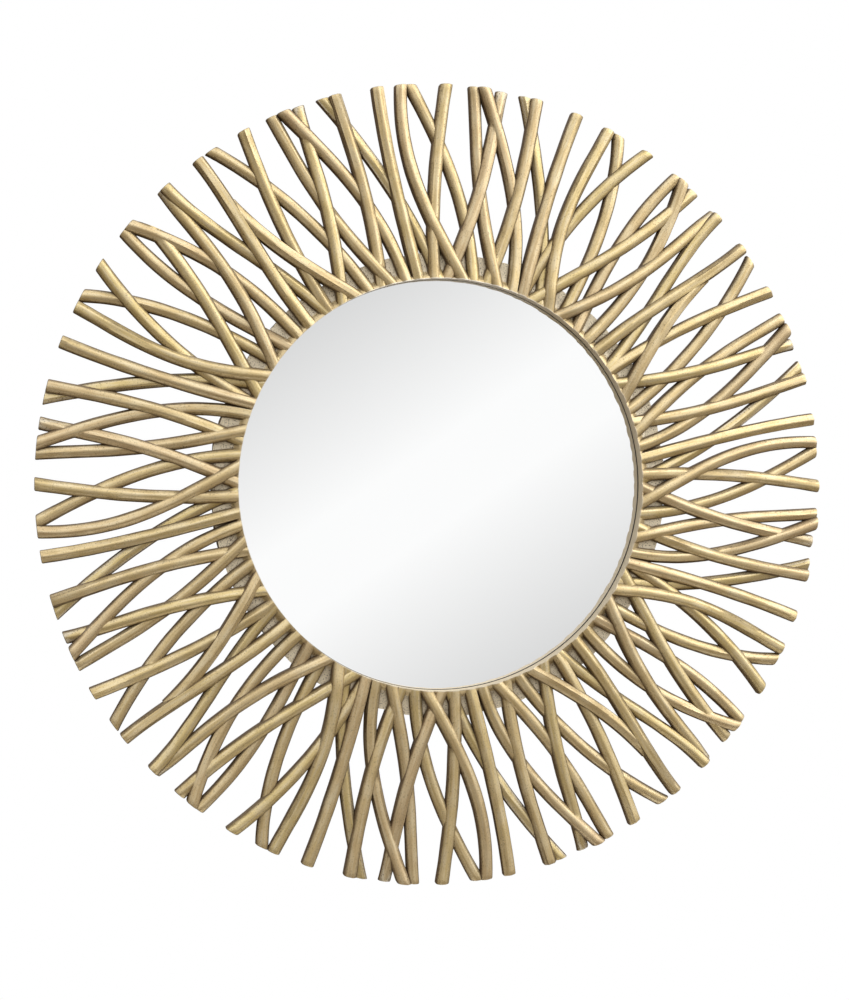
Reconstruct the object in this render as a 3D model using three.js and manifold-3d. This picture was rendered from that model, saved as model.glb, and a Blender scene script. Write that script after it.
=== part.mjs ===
// Round wall mirror in a cast frame of crossing twigs, to be hung on a wall.
// Millimetres, +Z up. The mirror faces -Y and the wall is the plane y = 0.
// The origin is on the back of the hanger plate, above the middle of the glass.
import * as THREE from 'three';
import * as BufferGeometryUtils from 'three/addons/utils/BufferGeometryUtils.js';
import Module from 'manifold-3d';

// Driving dimensions across the face
const tipRadius = 399;
const openingRadius = 205.5;
const ringRadius = 230;
const twigWidth = 13.2;
const middleBelowHanger = 150;

// Depths, measured out from the wall
const plateThickness = 1.6;
const boardThickness = 5;
const glassThickness = 4;
const gap = 0.3;
const recessDepth = 18.8;
const boardBack = plateThickness + gap;
const ringBack = boardBack + boardThickness + gap;
const glassBack = ringBack;
const lipDepth = glassBack + glassThickness + gap;
const ringFront = 17.5;
const twigBack = 11.8;
const rearTwigTop = 20;
const frontTwigTop = 27;
const footRise = lipDepth - gap + recessDepth - frontTwigTop;

// Rebate, glass and board
const rebateRadius = 214.5;
const glassRadius = 213;
const boardRadius = 228;
const roundSides = 48;

// Screws: a head, a shank and the clearance round it
const screwSides = 8;
const boardScrews = 6;
const boardScrewCircle = 222;
const boardScrew = { headRadius: 3.6, headHeight: 1.3, shankRadius: 1.6, length: 12 };
const hangerScrew = { headRadius: 3.6, headHeight: 1.2, shankRadius: 1.6, length: 5 };

// Hanger plate with its keyhole, and the pocket that takes the nail head behind it
const plate = { width: 66, top: 34, bottom: -15, corner: 6 };
const keyhole = { headZ: 13, headRadius: 5.5, slotTopZ: 25, slotRadius: 2.4 };
const pocket = { halfWidth: 8, bottom: 5, top: 30, depth: 3.4 };
const hangerScrewX = 24;
const hangerScrewZ = 6;

// Twigs of one quarter of the frame, which repeats four times round the middle.
// Angles are in degrees, counted from the right towards the top. A twig runs from its foot at the
// opening to its tip on the rim; bow is its sideways bend at half length, and sway its S bend.
// Levels at foot, middle and tip say which twig lies over which: 0 is rearmost, 2 is foremost.
// Three twigs stop short of an end that another twig hides: from and to are shares of the length.
const quarterTwigs = [
  { foot: 3.05, tip: -0.12, bow: 0.5, sway: 0.9, levels: [1.2, 1.2, 1.5] },
  { foot: -8.3, tip: 5.2, bow: -0.4, sway: -2.5, levels: [0.3, 0.4, 0.4] },
  { foot: -5.5, tip: 6.45, bow: 5.1, sway: 4.2, levels: [2, 1.6, 1] },
  { foot: 7.4, tip: 9.95, bow: 1, sway: 0.4, levels: [1.2, 1.5, 1.3] },
  { foot: 1.5, tip: 18, bow: 0.8, sway: -0.3, levels: [0, 0, 0.2], from: 0.17 },
  { foot: 18.2, tip: 16.2, bow: -1.45, sway: -3, levels: [0.3, 1.4, 1.6] },
  { foot: 30.4, tip: 21.6, bow: -2.5, sway: -6, levels: [0.6, 1.6, 0.5] },
  { foot: 10.9, tip: 24, bow: -0.75, sway: -4, levels: [1, 0.5, 1.7] },
  { foot: 14.7, tip: 25.75, bow: 3.5, sway: 5.5, levels: [1.7, 0.4, 0.6] },
  { foot: 34.3, tip: 30.2, bow: 0.45, sway: 1, levels: [1.2, 1, 1.4] },
  { foot: 21.5, tip: 35.6, bow: -0.15, sway: 0, levels: [0.6, 0.2, 0.3] },
  { foot: 40.9, tip: 37.9, bow: -0.3, sway: 2.5, levels: [1.6, 1.6, 1.5] },
  { foot: 25, tip: 37.7, bow: 4.95, sway: 6.5, levels: [2, 1.7, 0], to: 0.74 },
  { foot: 34.7, tip: 43.9, bow: 1.6, sway: -3, levels: [0.6, 0.3, 1.3] },
  { foot: 56.3, tip: 44.3, bow: -3.95, sway: -8.5, levels: [1.9, 1.6, 0.4] },
  { foot: 65, tip: 49, bow: -4.2, sway: -4.5, levels: [0.8, 1.6, 0.3] },
  { foot: 45.05, tip: 51.3, bow: -1.85, sway: -2, levels: [1, 0.5, 1.7] },
  { foot: 48.9, tip: 52.3, bow: 2.5, sway: 1, levels: [0.5, 0.4, 0.8] },
  { foot: 67.8, tip: 58, bow: 0.5, sway: 0, levels: [0.5, 1, 1.7] },
  { foot: 54.3, tip: 63, bow: -1, sway: 1, levels: [0.6, 0.3, 0.3] },
  { foot: 58.5, tip: 64.7, bow: 3.75, sway: 7.5, levels: [2, 1.8, 1.2] },
  { foot: 67.3, tip: 69.95, bow: 1.1, sway: 0.8, levels: [1.6, 1.5, 1.3] },
  { foot: 61.2, tip: 78, bow: 0.95, sway: -0.5, levels: [0, 0, 0.2], from: 0.22 },
  { foot: 78.2, tip: 76.3, bow: -1.6, sway: -3, levels: [0.3, 1.4, 1.6] },
  { foot: 89.8, tip: 81.5, bow: -2.65, sway: -5, levels: [0.6, 1.6, 0.5] },
  { foot: 70.4, tip: 84.3, bow: -0.75, sway: -4, levels: [1, 0.5, 1.7] },
  { foot: 74.6, tip: 85.7, bow: 3, sway: 5, levels: [1.7, 0.4, 0.6] },
];
const footInset = 3;
const strongBow = 2;
const bowedTwigSteps = 4;
const straightTwigSteps = 3;

// Making of the solids: how far a cutter runs past a face, the weld distance, and steps on a round corner
const overshoot = 1;
const weldDistance = 1e-4;
const cornerSteps = 6;

const wasm = await Module();
wasm.setup();

function solidFrom(geometry) {
  const bare = geometry.clone();
  bare.deleteAttribute('normal');
  bare.deleteAttribute('uv');
  const merged = BufferGeometryUtils.mergeVertices(bare, weldDistance);
  const vertProperties = new Float32Array(merged.attributes.position.array);
  const triVerts = new Uint32Array(merged.index.array);
  return new wasm.Manifold(new wasm.Mesh({ numProp: 3, vertProperties, triVerts }));
}

function geometryFrom(solid) {
  const mesh = solid.getMesh();
  const geometry = new THREE.BufferGeometry();
  geometry.setAttribute('position', new THREE.BufferAttribute(mesh.vertProperties, 3));
  geometry.setIndex(new THREE.BufferAttribute(mesh.triVerts, 1));
  const faceted = geometry.toNonIndexed();
  faceted.computeVertexNormals();
  return faceted;
}

function joined(solids) {
  return solids.reduce((whole, next) => whole.add(next));
}

// A point on the face of the mirror, at a radius and angle from its middle and a depth from the wall
function facePoint(radius, angle, depth) {
  const x = radius * Math.cos(angle);
  const z = radius * Math.sin(angle) - middleBelowHanger;
  return new THREE.Vector3(x, -depth, z);
}

// A body turned round the Y axis through (x, z). The profile gives [radius, depth] pairs.
function turned(profile, sides, x, z) {
  const points = profile.map(([radius, depth]) => new THREE.Vector2(radius, -depth));
  const geometry = new THREE.LatheGeometry(points.reverse(), sides);
  geometry.translate(x, 0, z);
  return solidFrom(geometry);
}

function cylinder(radius, backDepth, frontDepth, sides, x, z) {
  const profile = [[0, backDepth], [radius, backDepth], [radius, frontDepth], [0, frontDepth]];
  return turned(profile, sides, x, z);
}

// Height over the rearmost twigs at a share of the length, through the three levels
function levelAt(levels, share) {
  const [foot, middle, tip] = levels;
  const bulge = middle - (foot + tip) / 2;
  return foot + (tip - foot) * share + bulge * 4 * share * (1 - share);
}

function twigAngle(twig, share) {
  const bow = twig.bow * 4 * share * (1 - share);
  const sway = twig.sway * share * (1 - share) * (1 - 2 * share);
  return THREE.MathUtils.degToRad(twig.foot + (twig.tip - twig.foot) * share + bow + sway);
}

// One section of a twig, in the plane square to the radius: flat back, upright sides, flat crown
function twigSection(twig, share) {
  const step = 0.01;
  const footRadius = openingRadius - footInset;
  const radius = footRadius + (tipRadius - footRadius) * share;
  const angle = twigAngle(twig, share);
  const turn = (twigAngle(twig, share + step) - twigAngle(twig, share - step)) / (2 * step);
  const slope = turn * radius / (tipRadius - footRadius);
  const halfWidth = twigWidth / 2 * Math.hypot(1, slope);
  const lift = (frontTwigTop - rearTwigTop) / 2 * levelAt(twig.levels, share);
  const top = rearTwigTop + lift + footRise * (1 - share) ** 2;
  const outline = [
    [-1, twigBack],
    [-1, top],
    [1, top],
    [1, twigBack],
  ];
  const middle = facePoint(radius, angle, 0);
  const along = new THREE.Vector3(-Math.sin(angle), 0, Math.cos(angle));
  return outline.map(([side, depth]) => {
    const point = middle.clone().addScaledVector(along, side * halfWidth);
    point.y = -depth;
    return point;
  });
}

function twigSolid(twig) {
  const steps = Math.abs(twig.bow) > strongBow ? bowedTwigSteps : straightTwigSteps;
  const { from = 0, to = 1 } = twig;
  const sections = [];
  for (let i = 0; i <= steps; i += 1) {
    sections.push(twigSection(twig, from + (to - from) * i / steps));
  }
  const count = sections[0].length;
  const positions = sections.flat().flatMap((point) => point.toArray());
  const index = [];
  for (let i = 0; i < steps; i += 1) {
    for (let j = 0; j < count; j += 1) {
      const a = i * count + j;
      const b = i * count + (j + 1) % count;
      index.push(a, a + count, b, b, a + count, b + count);
    }
  }
  const last = steps * count;
  for (let j = 1; j < count - 1; j += 1) {
    index.push(0, j, j + 1);
    index.push(last, last + j + 1, last + j);
  }
  const geometry = new THREE.BufferGeometry();
  geometry.setAttribute('position', new THREE.Float32BufferAttribute(positions, 3));
  geometry.setIndex(index);
  return solidFrom(geometry);
}

function quarterTurn(solid, quarter) {
  const matrix = new THREE.Matrix4().makeTranslation(0, 0, -middleBelowHanger);
  matrix.multiply(new THREE.Matrix4().makeRotationY(-quarter * Math.PI / 2));
  matrix.multiply(new THREE.Matrix4().makeTranslation(0, 0, middleBelowHanger));
  return solid.transform(matrix.toArray());
}

function boardScrewPlaces() {
  const places = [];
  for (let i = 0; i < boardScrews; i += 1) {
    const angle = (i + 0.5) * 2 * Math.PI / boardScrews;
    places.push(facePoint(boardScrewCircle, angle, 0));
  }
  return places;
}

function hangerScrewPlaces() {
  return [-1, 1].map((side) => new THREE.Vector3(side * hangerScrewX, 0, hangerScrewZ));
}

function twigFrame() {
  const ringProfile = [
    [openingRadius, lipDepth],
    [rebateRadius, lipDepth],
    [rebateRadius, ringBack],
    [ringRadius, ringBack],
    [ringRadius, ringFront],
    [openingRadius, ringFront],
    [openingRadius, lipDepth],
  ];
  const ring = turned(ringProfile, roundSides, 0, -middleBelowHanger);
  const quarter = joined(quarterTwigs.map(twigSolid));
  const crown = joined([0, 1, 2, 3].map((turn) => quarterTurn(quarter, turn)));
  const pastFront = 2 * frontTwigTop;
  const opening = cylinder(openingRadius, 0, pastFront, roundSides, 0, -middleBelowHanger);
  const rebate = cylinder(rebateRadius, 0, lipDepth, roundSides, 0, -middleBelowHanger);
  let frame = crown.subtract(opening).subtract(rebate).add(ring);
  const holeDepth = plateThickness + boardScrew.length + gap;
  for (const place of boardScrewPlaces()) {
    const hole = cylinder(boardScrew.shankRadius + gap, 0, holeDepth, screwSides, place.x, place.z);
    frame = frame.subtract(hole);
  }
  return frame;
}

function mirrorGlass() {
  const glassFront = glassBack + glassThickness;
  return cylinder(glassRadius, glassBack, glassFront, roundSides, 0, -middleBelowHanger);
}

function backingBoard() {
  const boardFront = boardBack + boardThickness;
  let board = cylinder(boardRadius, boardBack, boardFront, roundSides, 0, -middleBelowHanger);
  for (const place of boardScrewPlaces()) {
    const radius = boardScrew.shankRadius + gap;
    board = board.subtract(cylinder(radius, 0, boardFront + overshoot, screwSides, place.x, place.z));
  }
  for (const place of hangerScrewPlaces()) {
    const depth = hangerScrew.length + gap;
    const radius = hangerScrew.shankRadius + gap;
    board = board.subtract(cylinder(radius, 0, depth, screwSides, place.x, place.z));
  }
  const pocketBox = new THREE.BoxGeometry(
    2 * pocket.halfWidth,
    pocket.depth + overshoot,
    pocket.top - pocket.bottom,
  );
  const pocketMiddle = (pocket.top + pocket.bottom) / 2;
  pocketBox.translate(0, -boardBack - (pocket.depth - overshoot) / 2, pocketMiddle);
  return board.subtract(solidFrom(pocketBox));
}

// The keyhole is a round hole for the nail head with a narrower slot running up from it
function keyholePath() {
  const path = new THREE.Path();
  const { headZ, headRadius, slotTopZ, slotRadius } = keyhole;
  const meet = Math.asin(slotRadius / headRadius);
  path.absarc(0, headZ, headRadius, Math.PI / 2 + meet, Math.PI * 2.5 - meet, false);
  path.absarc(0, slotTopZ, slotRadius, 0, Math.PI, false);
  path.closePath();
  return path;
}

function hangerPlate() {
  const { width, top, bottom, corner } = plate;
  const half = width / 2;
  const shape = new THREE.Shape();
  shape.absarc(half - corner, bottom + corner, corner, -Math.PI / 2, 0, false);
  shape.absarc(half - corner, top - corner, corner, 0, Math.PI / 2, false);
  shape.absarc(corner - half, top - corner, corner, Math.PI / 2, Math.PI, false);
  shape.absarc(corner - half, bottom + corner, corner, Math.PI, Math.PI * 1.5, false);
  shape.closePath();
  shape.holes.push(keyholePath());
  for (const place of hangerScrewPlaces()) {
    const hole = new THREE.Path();
    hole.absarc(place.x, place.z, hangerScrew.headRadius + gap, 0, Math.PI * 2, false);
    shape.holes.push(hole);
  }
  const options = { depth: plateThickness, bevelEnabled: false, curveSegments: cornerSteps };
  const geometry = new THREE.ExtrudeGeometry(shape, options);
  geometry.rotateX(Math.PI / 2);
  return solidFrom(geometry);
}

// A screw with a round head: the head's outer face is at headDepth, the shank goes in from it
function screw(size, headDepth, place) {
  const profile = [
    [0, headDepth],
    [size.headRadius, headDepth],
    [size.headRadius, headDepth + size.headHeight],
    [size.shankRadius, headDepth + size.headHeight],
    [size.shankRadius, headDepth + size.length],
    [0, headDepth + size.length],
  ];
  return turned(profile, screwSides, place.x, place.z);
}

const goldResin = new THREE.MeshStandardMaterial({ color: 0xb49a68, roughness: 0.5, metalness: 0.4 });
const silvered = new THREE.MeshStandardMaterial({ color: 0xe8eaec, roughness: 0.03, metalness: 1 });
const brownBoard = new THREE.MeshStandardMaterial({ color: 0x6b5138, roughness: 0.9, metalness: 0 });
const zinc = new THREE.MeshStandardMaterial({ color: 0xb9bcc0, roughness: 0.4, metalness: 0.9 });

const mirror = new THREE.Group();

function place(name, solid, material) {
  const mesh = new THREE.Mesh(geometryFrom(solid), material);
  mesh.name = name;
  mirror.add(mesh);
}

place('twig_frame', twigFrame(), goldResin);
place('mirror_glass', mirrorGlass(), silvered);
place('backing_board', backingBoard(), brownBoard);
place('hanger_plate', hangerPlate(), zinc);
hangerScrewPlaces().forEach((where, i) => {
  place(`hanger_screw_${i + 1}`, screw(hangerScrew, gap, where), zinc);
});
boardScrewPlaces().forEach((where, i) => {
  const headDepth = boardBack - gap - boardScrew.headHeight;
  place(`board_screw_${i + 1}`, screw(boardScrew, headDepth, where), zinc);
});

export default mirror;
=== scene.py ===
# Looks for the round twig wall mirror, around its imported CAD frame.
# Metres, +Z up. The mirror faces -Y and the wall it hangs on is the plane y = 0.
import math
import random

import bpy
from mathutils import Matrix, Vector, noise


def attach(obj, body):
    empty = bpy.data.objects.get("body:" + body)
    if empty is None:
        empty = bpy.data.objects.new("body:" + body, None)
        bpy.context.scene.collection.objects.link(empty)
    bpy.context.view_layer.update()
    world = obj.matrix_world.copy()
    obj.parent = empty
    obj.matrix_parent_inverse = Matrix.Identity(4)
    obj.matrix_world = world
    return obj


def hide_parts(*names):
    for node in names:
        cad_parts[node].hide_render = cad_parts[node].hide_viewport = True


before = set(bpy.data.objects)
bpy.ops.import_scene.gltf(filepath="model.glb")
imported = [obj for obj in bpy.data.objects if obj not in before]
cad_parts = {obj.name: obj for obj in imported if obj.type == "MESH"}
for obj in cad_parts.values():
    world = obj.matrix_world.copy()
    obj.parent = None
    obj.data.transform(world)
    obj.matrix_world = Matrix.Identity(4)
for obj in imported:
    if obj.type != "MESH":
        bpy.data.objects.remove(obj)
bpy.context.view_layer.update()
mm = 0.001
middle = Vector((0, 0, -0.150))  # middle of the glass, below the hanging place

# Camera first: the photograph's viewing angle, a little from the left
cameraSetup = {
    "target": (0, -0.0165, -0.150),
    "azimuth": -12.11,
    "elevation": 0.66,
    "roll": 0.18,
    "distance": 1.8036,
    "lens": 64.96,
    "sensor": 36,
    "shift": (-0.0191, -0.0150),
}


def addCamera(setup):
    turn = math.radians(setup["azimuth"])
    lift = math.radians(setup["elevation"])
    away = Vector((math.sin(turn) * math.cos(lift), -math.cos(turn) * math.cos(lift), math.sin(lift)))
    place = Vector(setup["target"]) + away * setup["distance"]
    roll = Matrix.Rotation(math.radians(setup["roll"]), 3, "Z")
    facing = away.to_track_quat("Z", "Y").to_matrix() @ roll
    bpy.ops.object.camera_add(location=place, rotation=facing.to_euler())
    camera = bpy.context.object
    camera.data.lens = setup["lens"]
    camera.data.sensor_width = setup["sensor"]
    camera.data.shift_x, camera.data.shift_y = setup["shift"]
    bpy.context.scene.camera = camera


addCamera(cameraSetup)
print("camera in place")


def deselectAll():
    if bpy.context.mode != "OBJECT":
        bpy.ops.object.mode_set(mode="OBJECT")
    bpy.ops.object.select_all(action="DESELECT")


def makeActive(obj):
    deselectAll()
    obj.select_set(True)
    bpy.context.view_layer.objects.active = obj


# Edit mode with only the faces or edges that the test picks
def pick(obj, kind, test):
    makeActive(obj)
    bpy.ops.object.mode_set(mode="EDIT")
    bpy.ops.mesh.select_mode(type=kind)
    bpy.ops.mesh.select_all(action="DESELECT")
    bpy.ops.object.mode_set(mode="OBJECT")
    mesh = obj.data
    for item in mesh.polygons if kind == "FACE" else mesh.edges:
        item.select = test(mesh, item)
    bpy.ops.object.mode_set(mode="EDIT")


def done():
    bpy.ops.object.mode_set(mode="OBJECT")


def bevelEdges(obj, test, width, segments=2):
    pick(obj, "EDGE", test)
    bpy.ops.mesh.bevel(offset=width, segments=segments)
    done()


# Whether an edge lies in a plane parallel to the wall, as the rim of a disc does
def isRim(mesh, edge):
    a, b = (mesh.vertices[i].co for i in edge.vertices)
    return abs(a.y - b.y) < 0.01 * mm


def isCorner(mesh, edge):
    return not isRim(mesh, edge)


def facesRoom(mesh, face):
    return face.normal.y < -0.9


def smoothBy(obj, degrees):
    makeActive(obj)
    bpy.ops.object.shade_smooth_by_angle(angle=math.radians(degrees))


def copyOf(obj, name):
    twin = obj.copy()
    twin.data = obj.data.copy()
    twin.name = name
    twin.data.name = name
    bpy.context.scene.collection.objects.link(twin)
    return twin


def bakePlace(obj):
    makeActive(obj)
    bpy.ops.object.transform_apply(location=True, rotation=True, scale=True)


def boolean(obj, other, operation):
    makeActive(obj)
    modifier = obj.modifiers.new(operation.lower(), "BOOLEAN")
    modifier.operation = operation
    modifier.solver = "MANIFOLD"
    modifier.object = other
    bpy.ops.object.modifier_apply(modifier=modifier.name)
    bpy.data.objects.remove(other)


# A cylinder along Y between two depths from the wall
def addDisc(name, radius, backDepth, frontDepth, sides, centre=middle):
    deselectAll()
    place = (centre.x, -(backDepth + frontDepth) / 2, centre.z)
    bpy.ops.mesh.primitive_cylinder_add(
        vertices=sides,
        radius=radius,
        depth=frontDepth - backDepth,
        location=place,
        rotation=(math.radians(90), 0, 0),
    )
    disc = bpy.context.object
    disc.name = name
    disc.data.name = name
    bakePlace(disc)
    return disc


# A box of the given size, turned about Y
def addBox(name, place, size, turn=0):
    deselectAll()
    bpy.ops.mesh.primitive_cube_add(size=1, location=place, rotation=(0, math.radians(turn), 0))
    box = bpy.context.object
    box.name = name
    box.data.name = name
    box.scale = size
    bakePlace(box)
    return box


# The twig frame. Its twigs follow the CAD solid's paths closely, in a quarter that repeats four times.
# Angles in degrees from the right towards the top: foot at the opening, tip on the rim, bow and S bend.
# Levels at foot, middle and tip say which twig lies over which: the higher one is nearer to the room.
# The last two values are the shares of the way from foot to tip where the twig starts and stops.
twigFrame = {
    "tipRadius": 0.399,
    "footRadius": 0.2025,
    "openingRadius": 0.2055,
    "halfWidth": 6.5 * mm,
    "back": 11.8 * mm,
    "backSpread": 0.2,  # in millimetres
    "rearTop": 20 * mm,
    "levelStep": 3.5 * mm,
    "footRise": 3 * mm,
    "footTop": 26 * mm,
    "footSpread": 0.3,
    "footLength": 0.12,
    "crownHeight": 6.4 * mm,
    "crownSides": 14,
    "squareness": 2.1,
    "stations": 36,
    "endCuts": (0.02, 0.9945, 0.998),
    "roundFrom": 0.9945,
    "roundLength": 0.0055,
    "roundDrop": 1.3 * mm,
    "roundNarrow": 1.1 * mm,
    "facetCounts": (6, 7, 7, 8),
    "twist": 0.5,
    "flatMiddle": 0.955,
    "flatEdge": 1.6,
    "wear": 0.65,
    "wearSpread": 0.7,
    "widthWobble": 0.05,
    "topWobble": 0.35 * mm,
    "lump": 0.25 * mm,
    "lumpWaves": (22, 1.3),
    "backTaper": 0.05,
    "ripples": {"width": (9, 0.5), "top": (7, 9.1), "wear": (3, 4.4)},  # waves on a twig, lane of the noise
    "grainTurn": 3.14,
    "randomSeed": 11,
    "seedStep": 7.31,
    "weld": 0.00001,
    "smooth": 38,
    "twigs": [
        (3.05, -0.12, 0.5, 0.9, (1.2, 1.2, 1.5), 0, 1),
        (-8.3, 5.2, -0.4, -2.5, (0.3, 0.4, 0.4), 0, 1),
        (-5.5, 6.45, 5.1, 4.2, (2, 1.6, 1), 0, 1),
        (7.4, 9.95, 1, 0.4, (1.2, 1.5, 1.3), 0, 1),
        (1.5, 18, 0.8, -0.3, (0, 0, 0.2), 0.01, 1),
        (18.2, 16.2, -1.45, -3, (0.3, 1.4, 1.6), 0, 1),
        (30.4, 21.6, -2.5, -6, (0.6, 1.6, -0.3), 0, 1),
        (10.9, 24, -0.75, -4, (1, 0.5, 2), 0, 1),
        (14.7, 25.75, 3.5, 5.5, (1.7, 0.4, 0.6), 0, 1),
        (34.3, 30.2, 0.45, 1, (1.2, 1, 1.4), 0, 1),
        (21.5, 35.6, -0.15, 0, (0.6, 0.2, 0.3), 0, 1),
        (40.9, 37.9, -0.3, 2.5, (1.6, 1.6, 1.5), 0, 1),
        (25, 38.4, 4.75, 6.5, (2, 1.7, -1), 0, 0.74),
        (34.7, 43.9, 1.6, -3, (0.6, 0.3, 1.6), 0, 1),
        (56.3, 44.3, -3.95, -8.5, (1.9, 1.6, -0.3), 0, 1),
        (65, 49, -4.2, -4.5, (0.8, 1.6, 0.3), 0, 1),
        (45.05, 51.3, -1.85, -2, (1, 0.5, 1.7), 0, 1),
        (48.9, 52.3, 2.5, 1, (0.5, 0.4, 0.8), 0, 1),
        (67.8, 58, 0.5, 0, (0.5, 1, 1.7), 0, 1),
        (54.3, 63, -1, 1, (0.6, 0.3, 0.3), 0, 1),
        (58.5, 64.7, 3.75, 7.5, (2, 1.8, 1.2), 0, 1),
        (67.3, 69.95, 1.1, 0.8, (1.6, 1.5, 1.3), 0, 1),
        (61.2, 78, 0.95, -0.5, (0, 0, 0.2), 0.01, 1),
        (78.2, 76.3, -1.6, -3, (0.3, 1.4, 1.6), 0, 1),
        (89.8, 81.5, -2.65, -5, (0.6, 1.6, -0.3), 0, 1),
        (70.4, 84.3, -0.75, -4, (1, 0.5, 2), 0, 1),
        (74.6, 85.7, 3, 5, (1.7, 0.4, 0.6), 0, 1),
    ],
}
# At the upper left one twig ends beneath the next instead of at the rim: the box that trims it
hiddenEnd = {
    "centre": (-0.3027, -0.03, 0.1135),
    "size": (65 * mm, 0.07, 18 * mm),
    "turn": 19.5,
}
# The flat ring under the feet, with a collar at the opening and a rebate for the glass behind it
ring = {
    "radius": 0.232,
    "back": 7.2 * mm,
    "front": 17.5 * mm,
    "lip": 11.5 * mm,
    "rebateRadius": 0.2145,
    "cutBack": 0.001,
    "cutFront": 0.06,
    "sides": 300,
    "rows": 9,
    "rowWidth": 3 * mm,
    "hiddenWithin": 0.2045,
    "collarTop": 24.5 * mm,
    "collarWidth": 10 * mm,
    "roughness": 0.9 * mm,
    "coarseScale": 90,
    "fineScale": 260,
    "fineShare": 0.6,
    "flatRough": 0.6,
    "collarSmooth": 0.45,
    "edgeRough": 1.2,
    "edgeLoss": 0.6,
    "wave": 1.5 * mm,
    "waveScale": 25,
}


def smoothStep(value):
    value = max(0, min(1, value))
    return value * value * (3 - 2 * value)


def twigAngle(twig, share):
    foot, tip, bow, sway = twig[:4]
    bend = bow * 4 * share * (1 - share) + sway * share * (1 - share) * (1 - 2 * share)
    return math.radians(foot + (tip - foot) * share + bend)


def twigTop(twig, share):
    size = twigFrame
    foot, half, tip = twig[4]
    bulge = half - (foot + tip) / 2
    level = foot + (tip - foot) * share + bulge * 4 * share * (1 - share)
    rise = size["footRise"] * (1 - share) ** 2
    top = size["rearTop"] + size["levelStep"] * level + rise
    # the feet come to nearly one height where they meet the collar
    apart = smoothStep(share / size["footLength"])
    spread = size["footSpread"] + (1 - size["footSpread"]) * apart
    return size["footTop"] + (top - size["footTop"]) * spread


def isLong(mesh, edge):
    a, b = (mesh.vertices[i].co.x for i in edge.vertices)
    return abs(a - b) > 0.5


# A straight bar along X, one unit long: round crown up, upright sides, flat back
def addTwigBlank():
    deselectAll()
    bpy.ops.mesh.primitive_cylinder_add(
        vertices=2 * twigFrame["crownSides"],
        radius=1,
        depth=1,
        location=(0.5, 0, 0),
        rotation=(0, math.radians(90), 0),
    )
    blank = bpy.context.object
    blank.name = "twigBlank"
    bakePlace(blank)
    bpy.ops.object.mode_set(mode="EDIT")
    bpy.ops.mesh.select_all(action="SELECT")
    bpy.ops.mesh.bisect(plane_co=(0, 0, 0.0001), plane_no=(0, 0, 1), use_fill=True, clear_inner=True)
    done()
    pick(blank, "FACE", lambda mesh, face: face.normal.z < -0.9)
    bpy.ops.mesh.extrude_region_move(TRANSFORM_OT_translate={"value": (0, 0, -1)})
    done()
    pick(blank, "EDGE", isLong)
    bpy.ops.mesh.subdivide(number_cuts=twigFrame["stations"] - 1)
    for share in twigFrame["endCuts"]:  # closer cuts where the ends are rounded
        bpy.ops.mesh.select_all(action="SELECT")
        bpy.ops.mesh.bisect(plane_co=(share, 0, 0), plane_no=(1, 0, 0))
    done()
    return blank


def ripple(kind, share, seed):
    waves, lane = twigFrame["ripples"][kind]
    return noise.noise((share * waves, seed, lane))


# How much a twig's path leans away from straight outwards, as a factor on its width
def twigSlant(twig, share, radius, reach):
    step = 0.01
    turn = (twigAngle(twig, share + step) - twigAngle(twig, share - step)) / (2 * step)
    return math.hypot(1, turn * radius / reach)


# The bar bent to its path, with worn facets on the crown, small lumps and a rounded cut end
def shapeTwig(obj, twig, index):
    size = twigFrame
    start, stop = twig[5:7]
    seed = index * size["seedStep"]
    phase = random.uniform(0, 2 * size["grainTurn"])
    facet = 2 * math.pi / random.choice(size["facetCounts"])
    twist = random.uniform(-size["twist"], size["twist"])
    backDepth = size["back"] + random.uniform(-size["backSpread"], 0) * mm
    reach = size["tipRadius"] - size["footRadius"]
    crown = size["crownHeight"]
    power = 2 / size["squareness"]
    grain = obj.data.uv_layers.new(name="grain")
    places = []
    for vertex in obj.data.vertices:
        along, side, up = vertex.co
        share = start + (stop - start) * along
        radius = size["footRadius"] + reach * share
        angle = twigAngle(twig, share)
        half = size["halfWidth"] * (1 + size["widthWobble"] * ripple("width", share, seed))
        top = twigTop(twig, share) + size["topWobble"] * ripple("top", share, seed)
        end = max(0, (along - size["roundFrom"]) / size["roundLength"]) if stop == 1 else 0
        trim = 1 - math.sqrt(max(0, 1 - end * end))
        turnAcross = math.atan2(max(up, 0), side)
        inFacet = (turnAcross + phase + twist * share) % facet - facet / 2
        flat = math.cos(facet / 2) / math.cos(inFacet)
        worn = size["wear"] + size["wearSpread"] * ripple("wear", share, seed)
        bulge = 1 + (flat / size["flatMiddle"] - 1) * worn * min(1, size["flatEdge"] * math.sin(turnAcross))
        across = math.copysign(abs(math.cos(turnAcross)) ** power, side)
        height = math.sin(turnAcross) ** power
        if up < 0.001:  # the upright sides and the flat back
            across = math.copysign(1, side) * (1 - size["backTaper"] * max(0, -up))
            height = 0
        waves, wavesAcross = size["lumpWaves"]
        lump = size["lump"] * noise.noise((share * waves, across * wavesAcross, seed))
        depth = top - crown + height * (crown * bulge - trim * size["roundDrop"]) + lump * height
        if up < 0:
            depth = top - crown + up * (top - crown - backDepth)
        width = half * (bulge if up >= 0 else 1) - trim * size["roundNarrow"]
        sideways = across * width * twigSlant(twig, share, radius, reach)
        places.append((along, turnAcross, share))
        x = radius * math.cos(angle) - sideways * math.sin(angle)
        z = radius * math.sin(angle) + sideways * math.cos(angle)
        vertex.co = (x, -depth, z + middle.z)
    for loop in obj.data.loops:
        along, across, share = places[loop.vertex_index]
        grain.data[loop.index].uv = (share + seed, across / size["grainTurn"])


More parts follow.
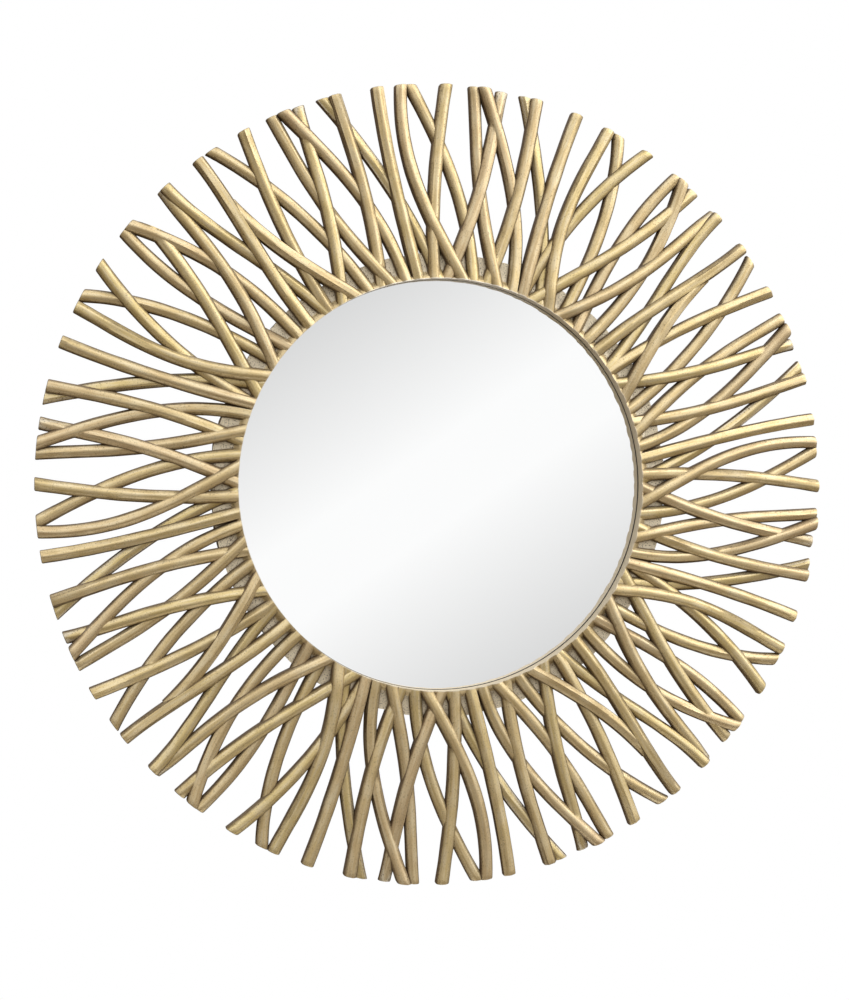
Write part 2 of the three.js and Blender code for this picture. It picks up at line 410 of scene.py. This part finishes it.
def joinTwigs():
    random.seed(twigFrame["randomSeed"])
    blank = addTwigBlank()
    quarter = None
    for index, twig in enumerate(twigFrame["twigs"]):
        obj = copyOf(blank, "twig")
        shapeTwig(obj, twig, index)
        if quarter is None:
            quarter = obj
        else:
            boolean(quarter, obj, "UNION")
    bpy.data.objects.remove(blank)
    print("quarter of the twigs joined:", len(quarter.data.polygons), "faces")
    whole = copyOf(quarter, "twigFrame")
    for turn in (1, 2, 3):
        other = copyOf(quarter, "quarter")
        spin = Matrix.Translation(middle) @ Matrix.Rotation(-turn * math.pi / 2, 4, "Y")
        other.data.transform(spin @ Matrix.Translation(-middle))
        boolean(whole, other, "UNION")
    bpy.data.objects.remove(quarter)
    return whole


# A disc with rows of rough cast surface towards its edge, raised to the collar and waved at the rim
def addRing():
    disc = addDisc("ring", ring["radius"], ring["back"], ring["front"], ring["sides"])
    pick(disc, "FACE", facesRoom)
    for row in range(ring["rows"]):
        bpy.ops.mesh.inset(thickness=ring["rowWidth"])
    done()
    collarEdge = twigFrame["openingRadius"] + ring["collarWidth"]
    for vertex in disc.data.vertices:
        off = vertex.co - middle
        off.y = 0
        away = off.length
        isBack = vertex.co.y > -ring["back"] - 0.1 * mm
        if away < ring["hiddenWithin"] or isBack and away < ring["radius"] - 0.1 * mm:
            continue
        rough = noise.noise(vertex.co * ring["coarseScale"])
        rough += ring["fineShare"] * noise.noise(vertex.co * ring["fineScale"])
        if vertex.co.y < -ring["front"] + 0.5 * mm:
            collar = smoothStep((collarEdge - away) / ring["collarWidth"])
            vertex.co.y -= (ring["collarTop"] - ring["front"]) * collar
            vertex.co.y -= ring["roughness"] * (ring["flatRough"] - ring["collarSmooth"] * collar) * rough
        if away > ring["radius"] - 0.5 * mm:
            chip = noise.noise(vertex.co * ring["coarseScale"] + Vector((5, 0, 0)))
            wave = ring["wave"] * noise.noise(vertex.co * ring["waveScale"])
            loss = ring["roughness"] * (ring["edgeRough"] * chip - ring["edgeLoss"])
            vertex.co += off.normalized() * (loss + wave)
    return disc


def cutRound(whole, name, radius, frontDepth):
    boolean(whole, addDisc(name, radius, ring["cutBack"], frontDepth, ring["sides"]), "DIFFERENCE")


def makeTwigFrame():
    whole = joinTwigs()
    trimBox = addBox("trimBox", hiddenEnd["centre"], hiddenEnd["size"], hiddenEnd["turn"])
    boolean(whole, trimBox, "DIFFERENCE")
    boolean(whole, addRing(), "UNION")
    cutRound(whole, "opening", twigFrame["openingRadius"], ring["cutFront"])
    cutRound(whole, "rebate", ring["rebateRadius"], ring["lip"])
    makeActive(whole)
    bpy.ops.object.mode_set(mode="EDIT")
    bpy.ops.mesh.select_all(action="SELECT")
    bpy.ops.mesh.remove_doubles(threshold=twigFrame["weld"])
    done()
    smoothBy(whole, twigFrame["smooth"])
    triangles = sum(len(face.vertices) - 2 for face in whole.data.polygons)
    print("twig frame:", triangles, "triangles")
    return whole


twigs = makeTwigFrame()


def addNode(material, kind, **values):
    node = material.node_tree.nodes.new("ShaderNode" + kind)
    for name, value in values.items():
        setattr(node, name, value)
    return node


def link(material, source, target):
    material.node_tree.links.new(source, target)


def newMaterial(name):
    material = bpy.data.materials.new(name)
    material.use_nodes = True
    return material, material.node_tree.nodes["Principled BSDF"]


# A socket is given a plain value or the output of another node
def feed(material, socket, value):
    if isinstance(value, (int, float, tuple)):
        socket.default_value = value
    else:
        link(material, value, socket)


# Factor from one end of a value's range to the other
def addRange(material, source, low, high, toLow=0, toHigh=1):
    node = addNode(material, "MapRange", interpolation_type="LINEAR")
    link(material, source, node.inputs["Value"])
    for name, value in (("From Min", low), ("From Max", high), ("To Min", toLow), ("To Max", toHigh)):
        node.inputs[name].default_value = value
    return node.outputs[0]


def addMath(material, operation, first, second=0):
    node = addNode(material, "Math", operation=operation)
    feed(material, node.inputs[0], first)
    feed(material, node.inputs[1], second)
    return node.outputs[0]


def addMix(material, factor, first, second):
    node = addNode(material, "Mix", data_type="RGBA")
    feed(material, node.inputs[0], factor)
    feed(material, node.inputs[6], first)
    feed(material, node.inputs[7], second)
    return node.outputs[2]


def addNoise(material, vector, scale, detail=2, roughness=0.5):
    node = addNode(material, "TexNoise")
    link(material, vector, node.inputs["Vector"])
    for name, value in (("Scale", scale), ("Detail", detail), ("Roughness", roughness)):
        node.inputs[name].default_value = value
    return node.outputs["Fac"]


# Distance of a point from a centre, as seen from straight in front
def addReach(material, place, centre=middle):
    centred = addNode(material, "VectorMath", operation="MULTIPLY_ADD")
    link(material, place, centred.inputs[0])
    centred.inputs[1].default_value = (1, 0, 1)
    centred.inputs[2].default_value = (-centre.x, 0, -centre.z)
    reach = addNode(material, "VectorMath", operation="LENGTH")
    link(material, centred.outputs[0], reach.inputs[0])
    return reach.outputs["Value"]


def stretched(material, vector, scale):
    node = addNode(material, "Mapping")
    node.inputs["Scale"].default_value = scale
    link(material, vector, node.inputs["Vector"])
    return node.outputs[0]


def addAxes(material, vector):
    node = addNode(material, "SeparateXYZ")
    link(material, vector, node.inputs[0])
    return node.outputs


# How open the surface is to its surroundings within a reach: 1 in the open, 0 in a deep hollow
def addOpenness(material, reach, samples):
    node = addNode(material, "AmbientOcclusion", samples=samples, only_local=True)
    node.inputs["Distance"].default_value = reach
    return node.outputs["AO"]


def addBump(material, shader, height, look):
    bump = addNode(material, "Bump")
    bump.inputs["Strength"].default_value = look["bumpStrength"]
    bump.inputs["Distance"].default_value = look["bumpDistance"]
    link(material, height, bump.inputs["Height"])
    link(material, bump.outputs[0], shader.inputs["Normal"])


# Antique gold. The colours come first. A noise has its scale, detail and roughness, and a stretch its
# factors along and across a twig. The other pairs and fours, here and in the looks below, are ranges:
# the two values they run between, and then what each of the two becomes, 0 and 1 if it isn't said.
goldLook = {
    "gold": (0.76, 0.58, 0.24, 1),
    "paleGold": (0.83, 0.68, 0.395, 1),
    "rose": (0.70, 0.51, 0.265, 1),
    "khaki": (0.86, 0.74, 0.50, 1),
    "wall": (0.76, 0.64, 0.42, 1),
    "paintedLitTopWall": (1, 0.92, 0.74, 1),
    "brown": (0.085, 0.046, 0.017, 1),
    "edgeTint": (1, 0.93, 0.82, 1),
    "specular": 0.4,
    "metallic": (0, 1, 0.68, 0.1),
    "roughness": (0, 1, 0.4, 0.75),
    "streakStretch": (4, 5, 1),
    "streakNoise": (1.6, 3, 0.55),
    "twigStretch": (0.35, 0, 0),
    "ridgeStretch": (1.5, 4, 1),
    "plainNoise": (1, 0),
    "patchNoise": (45, 3),
    "fineNoise": (800, 3, 0.7),
    "roseShare": (0.35, 0.65),
    "paleShare": (0.4, 0.75),
    "palePatches": (0.3, 0.7, -0.1, 0.1),
    "ringDepth": (-0.0195, -0.0185),
    "ringFacing": (0.55, 0.8),
    "flankPatches": (0.3, 0.7, -0.08, 0.08),
    "flankWashAndShade": (0.4, 0.9, 1, 0),
    "flankPower": 1.15,
    "flankDepth": (-0.024, -0.014, 0.82, 0.95),
    "backWash": (-0.3, -0.8, 0, 0.45),
    "creaseReach": 2.2 * mm,
    "creaseSamples": 8,
    "creaseWashAndShade": (0.35, 0.8, 1, 0),
    "nearReach": 14 * mm,
    "nearSamples": 6,
    "behindPores": (0.9, 0.5, 0, 0.5),
    "facingPores": (1, 0.6, 0.5, 0.85),
    "poreWash": (0.56, 0.65, 0, 0.85),
    "lineWash": (0.44, 0.3, 0, 0.15),
    "poreShare": 0.9,
    "mostWashAndShade": 0.97,
    "wallReach": (0.2057, 0.2066, 1, 0),
    "paintedLightHeight": (0.02, 0.05),
    "wallWashAndShade": (0, 1, 0.1, 1),
    "wallDullness": 0.75,
    "ringDullness": 0.4,
    "bumpStrength": 0.25,
    "bumpDistance": 0.5 * mm,
    "streakBump": 0.5,
    "ridgeBump": 5,
    "fineBump": 0.08,
}


def makeGold():
    look = goldLook
    material, shader = newMaterial("goldResin")
    coords = addNode(material, "TexCoord")
    place = coords.outputs["Object"]
    where = addAxes(material, place)
    facing = addAxes(material, coords.outputs["Normal"])
    front = addMath(material, "MULTIPLY", facing["Y"], -1)
    grain = addNode(material, "UVMap", uv_map="grain").outputs["UV"]
    streaks = addNoise(material, stretched(material, grain, look["streakStretch"]), *look["streakNoise"])
    ridges = addNoise(material, stretched(material, grain, look["ridgeStretch"]), *look["plainNoise"])
    eachTwig = addNoise(material, stretched(material, grain, look["twigStretch"]), *look["plainNoise"])
    patches = addNoise(material, place, *look["patchNoise"])
    fine = addNoise(material, place, *look["fineNoise"])

    tone = addMix(material, addRange(material, eachTwig, *look["roseShare"]), look["gold"], look["rose"])
    pale = addMath(material, "ADD", streaks, addRange(material, patches, *look["palePatches"]))
    tone = addMix(material, addRange(material, pale, *look["paleShare"]), tone, look["paleGold"])
    # the ring shows as rough khaki casting between the feet
    low = addRange(material, where["Y"], *look["ringDepth"])
    low = addMath(material, "MULTIPLY", low, addRange(material, front, *look["ringFacing"]))
    tone = addMix(material, low, tone, look["khaki"])

    # brown wash and painted shade: brown glaze with painted shade on the flanks and in the hollows, and
    # brown wash in the pores
    # painted shade partly, brown glaze partly: flanks go brown as they turn from the room, more near the
    # base
    level = addMath(material, "ABSOLUTE", front)
    uneven = addMath(material, "ADD", level, addRange(material, patches, *look["flankPatches"]))
    flank = addMath(material, "POWER", addRange(material, uneven, *look["flankWashAndShade"]), look["flankPower"])
    flank = addMath(material, "MULTIPLY", flank, addRange(material, where["Y"], *look["flankDepth"]))
    flank = addMath(material, "MAXIMUM", flank, addRange(material, front, *look["backWash"]))
    # painted shade partly, brown glaze partly: creases and contact lines between twigs darken to brown
    hollow = addOpenness(material, look["creaseReach"], look["creaseSamples"])
    crease = addRange(material, hollow, *look["creaseWashAndShade"])
    near = addOpenness(material, look["nearReach"], look["nearSamples"])
    depth = addMath(material, "ADD", addRange(material, front, *look["facingPores"]), low)
    depth = addMath(material, "ADD", depth, addRange(material, near, *look["behindPores"]))
    pores = addMath(material, "MULTIPLY", addRange(material, fine, *look["poreWash"]), depth)
    pores = addMath(material, "MAXIMUM", pores, addRange(material, streaks, *look["lineWash"]))

    # the smooth wall of the opening gets hardly any brown wash or painted shade, is dull, and has painted
    # light at the top: paler there
    wall = addRange(material, addReach(material, place), *look["wallReach"])
    # painted light: the wall is painted paler towards its top, standing in for light reflected up onto it
    top = addRange(material, where["Z"], *look["paintedLightHeight"])
    tone = addMix(material, wall, tone, addMix(material, top, look["wall"], look["paintedLitTopWall"]))
    elsewhere = addMath(material, "SUBTRACT", 1, wall)
    # brown wash with painted shade from flanks and creases, plus pores, capped and kept off the wall
    washAndShade = addMath(material, "MAXIMUM", flank, crease)
    washAndShade = addMath(material, "ADD", washAndShade, addMath(material, "MULTIPLY", pores, look["poreShare"]))
    washAndShade = addMath(material, "MINIMUM", washAndShade, look["mostWashAndShade"])
    washAndShade = addMath(material, "MULTIPLY", washAndShade, addRange(material, elsewhere, *look["wallWashAndShade"]))
    link(material, addMix(material, washAndShade, tone, look["brown"]), shader.inputs["Base Color"])
    dull = addMath(material, "MAXIMUM", washAndShade, addMath(material, "MULTIPLY", wall, look["wallDullness"]))
    dull = addMath(material, "MAXIMUM", dull, addMath(material, "MULTIPLY", low, look["ringDullness"]))
    link(material, addRange(material, dull, *look["metallic"]), shader.inputs["Metallic"])
    link(material, addRange(material, dull, *look["roughness"]), shader.inputs["Roughness"])
    shader.inputs["Specular IOR Level"].default_value = look["specular"]
    shader.inputs["Specular Tint"].default_value = look["edgeTint"]
    lines = addMath(material, "MULTIPLY", streaks, look["streakBump"])
    lines = addMath(material, "ADD", lines, addMath(material, "MULTIPLY", ridges, look["ridgeBump"]))
    lines = addMath(material, "ADD", lines, addMath(material, "MULTIPLY", fine, look["fineBump"]))
    addBump(material, shader, lines, look)
    return material


def finish(obj, node, material):
    obj.data.materials.clear()
    obj.data.materials.append(material)
    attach(obj, "root")
    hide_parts(node)


finish(twigs, "twig_frame", makeGold())


# Mirror glass: a polished disc with a ground edge, silvered, with a painted back
glass = {
    "radius": 213 * mm,
    "back": 7.2 * mm,
    "front": 11.2 * mm,
    "edge": 0.6 * mm,
    "sides": 240,
    "smooth": 20,
    "silver": (0.94, 0.945, 0.945, 1),
    "paint": (0.32, 0.33, 0.34),
    "shadow": (0.02, 0.018, 0.015, 1),
    "metallic": (0, 1, 1, 0),
    "roughness": (0, 1, 0.015, 0.6),
    "rimCentre": middle + Vector((-0.5 * mm, 0, 0.15 * mm)),
    "rimReach": (0.2049, 0.2051),
    "paintDepth": (-0.0108, -0.0107),
    "cloudNoise": (120, 3),
    "cloudTone": (0.3, 0.7, 0.85, 1.1),
}


def makeGlass():
    disc = addDisc("mirrorGlass", glass["radius"], glass["back"], glass["front"], glass["sides"])
    bevelEdges(disc, isRim, glass["edge"])
    smoothBy(disc, glass["smooth"])
    return disc


def makeSilver():
    look = glass
    material, shader = newMaterial("silveredGlass")
    place = addNode(material, "TexCoord").outputs["Object"]
    # the rim under the lip of the frame shows as a dark line at the lower right
    rim = addRange(material, addReach(material, place, look["rimCentre"]), *look["rimReach"])
    # the back is painted a cloudy grey
    back = addRange(material, addAxes(material, place)["Y"], *look["paintDepth"])
    cloudy = addRange(material, addNoise(material, place, *look["cloudNoise"]), *look["cloudTone"])
    paint = addNode(material, "VectorMath", operation="SCALE")
    paint.inputs[0].default_value = look["paint"]
    link(material, cloudy, paint.inputs["Scale"])
    colour = addMix(material, rim, look["silver"], look["shadow"])
    colour = addMix(material, back, colour, paint.outputs[0])
    link(material, colour, shader.inputs["Base Color"])
    plain = addMath(material, "MAXIMUM", rim, back)
    link(material, addRange(material, plain, *look["metallic"]), shader.inputs["Metallic"])
    link(material, addRange(material, plain, *look["roughness"]), shader.inputs["Roughness"])
    return material


finish(makeGlass(), "mirror_glass", makeSilver())
print("mirror glass made")


# Screws: a low domed head with a cross recess, and a tapered point. The board's stand on a circle.
screwShape = {
    "sides": 32,
    "domeEdge": 0.5 * mm,
    "domeSteps": 3,
    "slotLength": 4 * mm,
    "slotWidth": 0.9 * mm,
    "slotDepth": 0.7 * mm,
    "overlap": 0.4 * mm,
    "pointLength": 2 * mm,
    "pointTaper": 0.25,
    "turnStep": 0.7,
    "smooth": 13,
}
boardScrews = {
    "places": [],
    "circle": 222 * mm,
    "count": 6,
    "head": 0.3 * mm,
    "headRadius": 3.6 * mm,
    "headHeight": 1.3 * mm,
    "shankRadius": 1.6 * mm,
    "length": 12 * mm,
}
hangerScrews = {
    "places": [Vector((-24 * mm, 0, 6 * mm)), Vector((24 * mm, 0, 6 * mm))],
    "head": 0.3 * mm,
    "headRadius": 3.6 * mm,
    "headHeight": 1.2 * mm,
    "shankRadius": 1.6 * mm,
    "length": 5 * mm,
}
for step in range(boardScrews["count"]):
    angle = (step + 0.5) * 2 * math.pi / boardScrews["count"]
    away = Vector((math.cos(angle), 0, math.sin(angle))) * boardScrews["circle"]
    boardScrews["places"].append(middle + away)

# Backing board: round hardboard with bevelled edges, a pocket for the nail head and holes for the screws
board = {
    "radius": 228 * mm,
    "back": 1.9 * mm,
    "front": 6.9 * mm,
    "edge": 0.7 * mm,
    "sides": 240,
    "smooth": 20,
    "overcut": 0.001,
    "through": 0.05,
    "holeRadius": 1.9 * mm,
    "holeSides": 24,
    "pocketLow": (-8 * mm, 5 * mm),
    "pocketHigh": (8 * mm, 30 * mm),
    "pocketDepth": 3.4 * mm,
    "pocketCorner": 2 * mm,
    "pocketSteps": 4,
    "brown": (0.20, 0.115, 0.055, 1),
    "darkBrown": (0.11, 0.06, 0.028, 1),
    "fibre": (0.33, 0.21, 0.11, 1),
    "mottleNoise": (70, 4, 0.6),
    "darkShare": (0.35, 0.65),
    "fibreStretch": (1, 1, 0.25),
    "fibreNoise": (900, 4, 0.7),
    "fibreShare": (0.58, 0.7, 0, 0.7),
    "weaveStretch": (0.3, 1, 1),
    "weaveNoise": (700, 3, 0.6),
    "roughness": (0.3, 0.7, 0.7, 0.92),
    "specular": 0.25,
    "bumpStrength": 0.35,
    "bumpDistance": 0.3 * mm,
}


def drill(obj, places, radius, depth, sides):
    for place in places:
        boolean(obj, addDisc("hole", radius, -board["overcut"], depth, sides, place), "DIFFERENCE")


def addPocket():
    low, high = board["pocketLow"], board["pocketHigh"]
    bottom = board["back"] + board["pocketDepth"]
    place = (0, (board["overcut"] - bottom) / 2, (low[1] + high[1]) / 2)
    pocket = addBox("pocket", place, (high[0] - low[0], bottom + board["overcut"], high[1] - low[1]))
    bevelEdges(pocket, isCorner, board["pocketCorner"], board["pocketSteps"])
    return pocket


def makeBoard():
    disc = addDisc("backingBoard", board["radius"], board["back"], board["front"], board["sides"])
    bevelEdges(disc, isRim, board["edge"])
    boolean(disc, addPocket(), "DIFFERENCE")
    drill(disc, boardScrews["places"], board["holeRadius"], board["through"], board["holeSides"])
    hangerDepth = hangerScrews["length"] + hangerScrews["head"]
    drill(disc, hangerScrews["places"], board["holeRadius"], hangerDepth, board["holeSides"])
    smoothBy(disc, board["smooth"])
    return disc


def makeHardboard():
    look = board
    material, shader = newMaterial("brownBoard")
    place = addNode(material, "TexCoord").outputs["Object"]
    fibres = addNoise(material, stretched(material, place, look["fibreStretch"]), *look["fibreNoise"])
    mottle = addNoise(material, place, *look["mottleNoise"])
    weave = addNoise(material, stretched(material, place, look["weaveStretch"]), *look["weaveNoise"])
    dark = addRange(material, mottle, *look["darkShare"])
    tone = addMix(material, dark, look["brown"], look["darkBrown"])
    tone = addMix(material, addRange(material, fibres, *look["fibreShare"]), tone, look["fibre"])
    link(material, tone, shader.inputs["Base Color"])
    link(material, addRange(material, weave, *look["roughness"]), shader.inputs["Roughness"])
    shader.inputs["Specular IOR Level"].default_value = look["specular"]
    addBump(material, shader, addMath(material, "ADD", fibres, weave), look)
    return material


finish(makeBoard(), "backing_board", makeHardboard())
print("backing board made")


# Hanger plate: pressed steel with round corners, a keyhole and two screw holes
plate = {
    "thickness": 1.6 * mm,
    "halfWidth": 33 * mm,
    "top": 34 * mm,
    "bottom": -15 * mm,
    "corner": 6 * mm,
    "cornerSteps": 10,
    "edge": 0.3 * mm,
    "headZ": 13 * mm,
    "headRadius": 5.5 * mm,
    "headSides": 48,
    "slotTop": 25 * mm,
    "slotRadius": 2.4 * mm,
    "slotSides": 32,
    "screwHole": 3.9 * mm,
    "screwSides": 36,
    "cutBack": -0.001,
    "cutFront": 0.003,
    "smooth": 18,
    "zinc": (0.60, 0.61, 0.63, 1),
    "paleZinc": (0.74, 0.75, 0.76, 1),
    "dullZinc": (0.42, 0.43, 0.44, 1),
    "spangleNoise": (260, 2, 0.5),
    "paleShare": (0.4, 0.6),
    "stainNoise": (60, 4, 0.6),
    "dullShare": (0.55, 0.75, 0, 0.8),
    "brushStretch": (0.08, 1, 1),
    "brushNoise": (2500, 2, 0.6),
    "roughness": (0.3, 0.7, 0.28, 0.45),
    "metallic": 0.95,
    "bumpStrength": 0.12,
    "bumpDistance": 0.1 * mm,
}


# Round head at the bottom and a narrow slot up from it
def addKeyhole():
    size = plate
    back, front = size["cutBack"], size["cutFront"]
    head = Vector((0, 0, size["headZ"]))
    slotEnd = Vector((0, 0, size["slotTop"]))
    hole = addDisc("keyhole", size["headRadius"], back, front, size["headSides"], head)
    slot = addDisc("slot", size["slotRadius"], back, front, size["slotSides"], slotEnd)
    place = (0, -(back + front) / 2, (size["headZ"] + size["slotTop"]) / 2)
    bar = addBox("bar", place, (2 * size["slotRadius"], front - back, size["slotTop"] - size["headZ"]))
    boolean(hole, slot, "UNION")
    boolean(hole, bar, "UNION")
    return hole


def makePlate():
    size = plate
    height = size["top"] - size["bottom"]
    place = (0, -size["thickness"] / 2, (size["top"] + size["bottom"]) / 2)
    sheet = addBox("hangerPlate", place, (2 * size["halfWidth"], size["thickness"], height))
    bevelEdges(sheet, isCorner, size["corner"], size["cornerSteps"])
    bevelEdges(sheet, isRim, size["edge"])
    boolean(sheet, addKeyhole(), "DIFFERENCE")
    drill(sheet, hangerScrews["places"], size["screwHole"], size["cutFront"], size["screwSides"])
    smoothBy(sheet, size["smooth"])
    return sheet


def makeZinc():
    look = plate
    material, shader = newMaterial("zincSteel")
    place = addNode(material, "TexCoord").outputs["Object"]
    spangle = addNoise(material, place, *look["spangleNoise"])
    brushed = addNoise(material, stretched(material, place, look["brushStretch"]), *look["brushNoise"])
    stain = addNoise(material, place, *look["stainNoise"])
    tone = addMix(material, addRange(material, spangle, *look["paleShare"]), look["zinc"], look["paleZinc"])
    tone = addMix(material, addRange(material, stain, *look["dullShare"]), tone, look["dullZinc"])
    link(material, tone, shader.inputs["Base Color"])
    shader.inputs["Metallic"].default_value = look["metallic"]
    link(material, addRange(material, brushed, *look["roughness"]), shader.inputs["Roughness"])
    addBump(material, shader, brushed, look)
    return material


zinc = makeZinc()
finish(makePlate(), "hanger_plate", zinc)
print("hanger plate made")


# One screw at the origin, its head towards the wall and its point towards the room
def makeScrew(size, name):
    shape = screwShape
    origin = Vector((0, 0, 0))
    neck = size["head"] + size["headHeight"]
    tip = size["head"] + size["length"]

    def isOuterRim(mesh, edge):
        return isRim(mesh, edge) and mesh.vertices[edge.vertices[0]].co.y > -neck / 2

    head = addDisc(name, size["headRadius"], size["head"], neck, shape["sides"], origin)
    bevelEdges(head, isOuterRim, shape["domeEdge"], shape["domeSteps"])
    shank = addDisc("shank", size["shankRadius"], neck - shape["overlap"], tip, shape["sides"], origin)
    pick(shank, "FACE", facesRoom)
    bpy.ops.transform.translate(value=(0, shape["pointLength"], 0))
    bpy.ops.mesh.extrude_region_move(TRANSFORM_OT_translate={"value": (0, -shape["pointLength"], 0)})
    bpy.ops.transform.resize(value=(shape["pointTaper"], 1, shape["pointTaper"]))
    done()
    boolean(head, shank, "UNION")
    long, short = shape["slotLength"], shape["slotWidth"]
    for width, height in ((long, short), (short, long)):
        slot = addBox("slot", (0, -size["head"], 0), (width, 2 * shape["slotDepth"], height))
        boolean(head, slot, "DIFFERENCE")
    smoothBy(head, shape["smooth"])
    return head


def placeScrews(size, name, node):
    first = makeScrew(size, name)
    for index, place in enumerate(size["places"]):
        screw = copyOf(first, name + str(index + 1))
        turn = Matrix.Rotation(screwShape["turnStep"] * index, 4, "Y")
        screw.data.transform(Matrix.Translation(place) @ turn)
        finish(screw, node + str(index + 1), zinc)
    bpy.data.objects.remove(first)


placeScrews(hangerScrews, "hangerScrew", "hanger_screw_")
placeScrews(boardScrews, "boardScrew", "board_screw_")
print("screws made")


# Floor, lights and world
floorLook = {
    "size": 2.4,
    "place": (0, 0, -2.4),
    "colour": (0.88, 0.86, 0.82, 1),
    "roughness": 0.8,
}
lights = {
    "keyLight": {"place": (0.90, -0.68, 0.66), "size": 1.3, "power": 6.4, "colour": (0.98, 1, 1.08)},
    "sideLight": {"place": (1.25, -0.42, 0.22), "size": 0.9, "power": 1.6, "colour": (0.94, 1, 1.18)},
}


def addFloor():
    deselectAll()
    bpy.ops.mesh.primitive_plane_add(size=floorLook["size"], location=floorLook["place"])
    floor = bpy.context.object
    floor.name = "floor"
    material, shader = newMaterial("paleFloor")
    shader.inputs["Base Color"].default_value = floorLook["colour"]
    shader.inputs["Roughness"].default_value = floorLook["roughness"]
    floor.data.materials.append(material)


def addLight(name, setup):
    place = Vector(setup["place"])
    turn = (place - middle).to_track_quat("Z", "Y").to_euler()
    bpy.ops.object.light_add(type="AREA", location=place, rotation=turn)
    light = bpy.context.object
    light.name = name
    light.data.size = setup["size"]
    light.data.energy = setup["power"]
    light.data.color = setup["colour"]


addFloor()
for name, setup in lights.items():
    addLight(name, setup)

# The studio round the mirror: warm and dim to the lower left, brighter to the upper right,
# with a grey panel to one side and a white backdrop in every view.
# What the glass shows from the camera is one soft white band slanting across a paler grey.
studio = {
    "dim": (0.118, 0.080, 0.034, 1),
    "bright": (1.34, 1.4, 1.6, 1),
    "towards": (0.17, -0.10, 0.98),
    "reach": (-0.18, 0.58),
    "backdrop": (1, 1, 1, 1),
    "glassView": (0.2098, -0.9777, -0.0115),
    "glassCone": (0.984, 0.9905),
    "panel": (0.62, 0.63, 0.65, 1),
    "panelView": (-0.64, -0.64, -0.42),
    "panelCone": (0.95, 0.995),
    "bandAxis": (0.971, 0.202, -1.456),
    "bandMiddle": 0.02,
    "band": (0.035, 0.23, 1.03, 0.68),
}


def addDot(world, direction, axis):
    node = addNode(world, "VectorMath", operation="DOT_PRODUCT")
    link(world, direction, node.inputs[0])
    node.inputs[1].default_value = axis
    return node.outputs["Value"]


def makeStudio():
    look = studio
    world = bpy.data.worlds.new("studio")
    bpy.context.scene.world = world
    world.use_nodes = True
    direction = addNode(world, "TexCoord").outputs["Generated"]
    share = addRange(world, addDot(world, direction, look["towards"]), *look["reach"])
    light = addMix(world, share, look["dim"], look["bright"])
    off = addMath(world, "SUBTRACT", addDot(world, direction, look["bandAxis"]), look["bandMiddle"])
    band = addRange(world, addMath(world, "ABSOLUTE", off), *look["band"])
    panel = addRange(world, addDot(world, direction, look["panelView"]), *look["panelCone"])
    light = addMix(world, panel, light, look["panel"])
    cone = addRange(world, addDot(world, direction, look["glassView"]), *look["glassCone"])
    light = addMix(world, cone, light, band)
    straight = addNode(world, "LightPath").outputs["Is Camera Ray"]
    light = addMix(world, straight, light, look["backdrop"])
    background = world.node_tree.nodes["Background"]
    link(world, light, background.inputs["Color"])
    background.inputs["Strength"].default_value = 1


makeStudio()
bpy.context.scene.view_settings.view_transform = "Standard"
